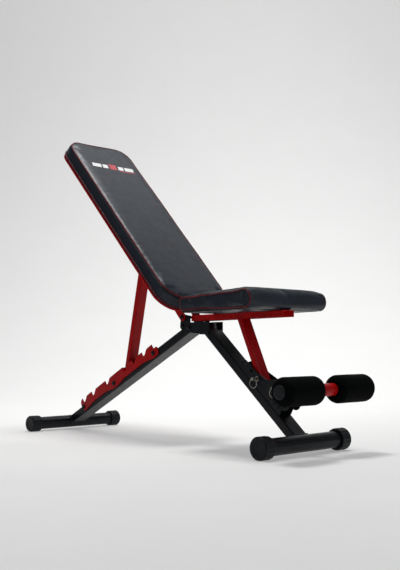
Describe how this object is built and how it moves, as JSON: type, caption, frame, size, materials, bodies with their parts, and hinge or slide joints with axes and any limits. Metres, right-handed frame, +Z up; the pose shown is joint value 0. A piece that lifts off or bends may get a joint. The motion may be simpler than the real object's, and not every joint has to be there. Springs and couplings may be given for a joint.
{
  "type": "adjustable weight bench",
  "caption": "Folding adjustable weight bench: A-frame, ratchet-propped padded backrest, tilting padded seat and foam-roller leg hold.",
  "frame": {"origin": "on the floor under the middle of the bench's bounding box", "axes": "+X from the backrest towards the seat's front and the leg hold, +Y across the bench to the user's left as they sit facing +X, +Z up"},
  "size_m": [1.1378, 0.3606, 0.9547],
  "materials": {
    "black_paint": "satin black powder coat",
    "red_paint": "gloss red powder coat",
    "zinc": "zinc plated",
    "fastener": "black oxide",
    "plastic": "moulded, fine grain",
    "leatherette": "satin PVC leatherette over foam",
    "foam": "closed-cell foam skin"
  },
  "bodies": {
    "front_frame": {"front_leg": "black_paint", "front_foot": "black_paint", "hinge_bracket": "black_paint", "stem_socket": "black_paint", "rear_pivot_bolt": "fastener", "rear_pivot_nut": "fastener", "fold_stop_bolt": "fastener", "fold_stop_nut": "fastener", "back_hinge_bolt": "fastener", "back_hinge_nut": "fastener", "adjuster_bolt_1": "fastener", "adjuster_bolt_2": "fastener", "front_cap_near": "plastic", "head_cheek_near": "black_paint", "seat_lug_near": "black_paint", "adjuster_plate_near": "black_paint", "front_cap_far": "plastic", "head_cheek_far": "black_paint", "seat_lug_far": "black_paint", "adjuster_plate_far": "black_paint"},
    "rear_frame": {"rear_leg": "black_paint", "rear_foot": "black_paint", "rear_cap_near": "plastic", "rack_near": "red_paint", "rear_cap_far": "plastic", "rack_far": "red_paint", "rack_1_bolt": "fastener", "rack_1_nut": "fastener", "rack_2_bolt": "fastener", "rack_2_nut": "fastener", "rack_3_bolt": "fastener", "rack_3_nut": "fastener"},
    "backrest": {"back_board": "red_paint", "back_pad": "leatherette", "back_rail": "red_paint", "back_rail_plug": "plastic", "back_hinge_bracket": "red_paint", "prop_lug_near": "red_paint", "prop_lug_far": "red_paint", "prop_pivot_bolt": "fastener", "prop_pivot_nut": "fastener"},
    "prop": {"prop_tube": "red_paint", "prop_foot_pin": "red_paint"},
    "seat": {"seat_channel": "red_paint", "seat_board": "plastic", "seat_pad": "leatherette", "seat_pivot_pin": "red_paint", "strut_pivot_pin": "red_paint"},
    "strut": {"seat_strut": "red_paint"},
    "leg_hold": {"hold_stem": "red_paint", "hold_crossbar": "red_paint", "roller_plug_near": "plastic", "roller_plug_far": "plastic"},
    "roller_near": {"foam_roller_near": "foam"},
    "roller_far": {"foam_roller_far": "foam"},
    "strut_pin": {"strut_hitch_pin": "zinc"},
    "strut_ring": {"strut_hitch_ring": "zinc"},
    "hold_pin": {"hold_hitch_pin": "zinc"},
    "hold_ring": {"hold_hitch_ring": "zinc"}
  },
  "joints": [
    {"name": "rear_leg_fold", "type": "hinge", "parent": "front_frame", "child": "rear_frame", "pos_m": [0.0569, 0, 0.33366], "axis": [0, -1, 0], "range_deg": [0, 95]},
    {"name": "back_recline", "type": "hinge", "parent": "front_frame", "child": "backrest", "pos_m": [0.0319, 0, 0.365], "axis": [0, 1, 0], "range_deg": [0, 30]},
    {"name": "prop_swing", "type": "hinge", "parent": "backrest", "child": "prop", "pos_m": [-0.16826, 0, 0.56024], "axis": [0, 1, 0], "range_deg": [-12, 0]},
    {"name": "seat_tilt", "type": "hinge", "parent": "front_frame", "child": "seat", "pos_m": [0.0849, 0, 0.3605], "axis": [0, -1, 0], "range_deg": [0, 16]},
    {"name": "strut_swing", "type": "hinge", "parent": "seat", "child": "strut", "pos_m": [0.24623, 0, 0.36324], "axis": [0, -1, 0], "range_deg": [-20.8, 0]},
    {"name": "leg_hold_slide", "type": "slide", "parent": "front_frame", "child": "leg_hold", "axis": [1, 0, 0], "range_m": [0, 0.04]},
    {"name": "roller_near_spin", "type": "hinge", "parent": "leg_hold", "child": "roller_near", "pos_m": [0.5321, -0.1045, 0.17], "axis": [0, 1, 0], "continuous": true},
    {"name": "roller_far_spin", "type": "hinge", "parent": "leg_hold", "child": "roller_far", "pos_m": [0.5321, 0.1045, 0.17], "axis": [0, 1, 0], "continuous": true},
    {"name": "strut_pin_pull", "type": "slide", "parent": "front_frame", "child": "strut_pin", "axis": [0, -1, 0], "range_m": [0, 0.06]},
    {"name": "strut_ring_swing", "type": "hinge", "parent": "strut_pin", "child": "strut_ring", "pos_m": [0.32292, -0.0423, 0.19297], "axis": [1, 0, 0], "range_deg": [-60, 25]},
    {"name": "hold_pin_pull", "type": "slide", "parent": "front_frame", "child": "hold_pin", "axis": [0, -1, 0], "range_m": [0, 0.06]},
    {"name": "hold_ring_swing", "type": "hinge", "parent": "hold_pin", "child": "hold_ring", "pos_m": [0.3939, -0.0423, 0.17], "axis": [1, 0, 0], "range_deg": [-60, 25]}
  ],
  "couplings": [
    {"joint": "prop_swing", "follows": "back_recline", "ratio": -0.4},
    {"joint": "strut_swing", "follows": "seat_tilt", "ratio": -1.3}
  ]
}
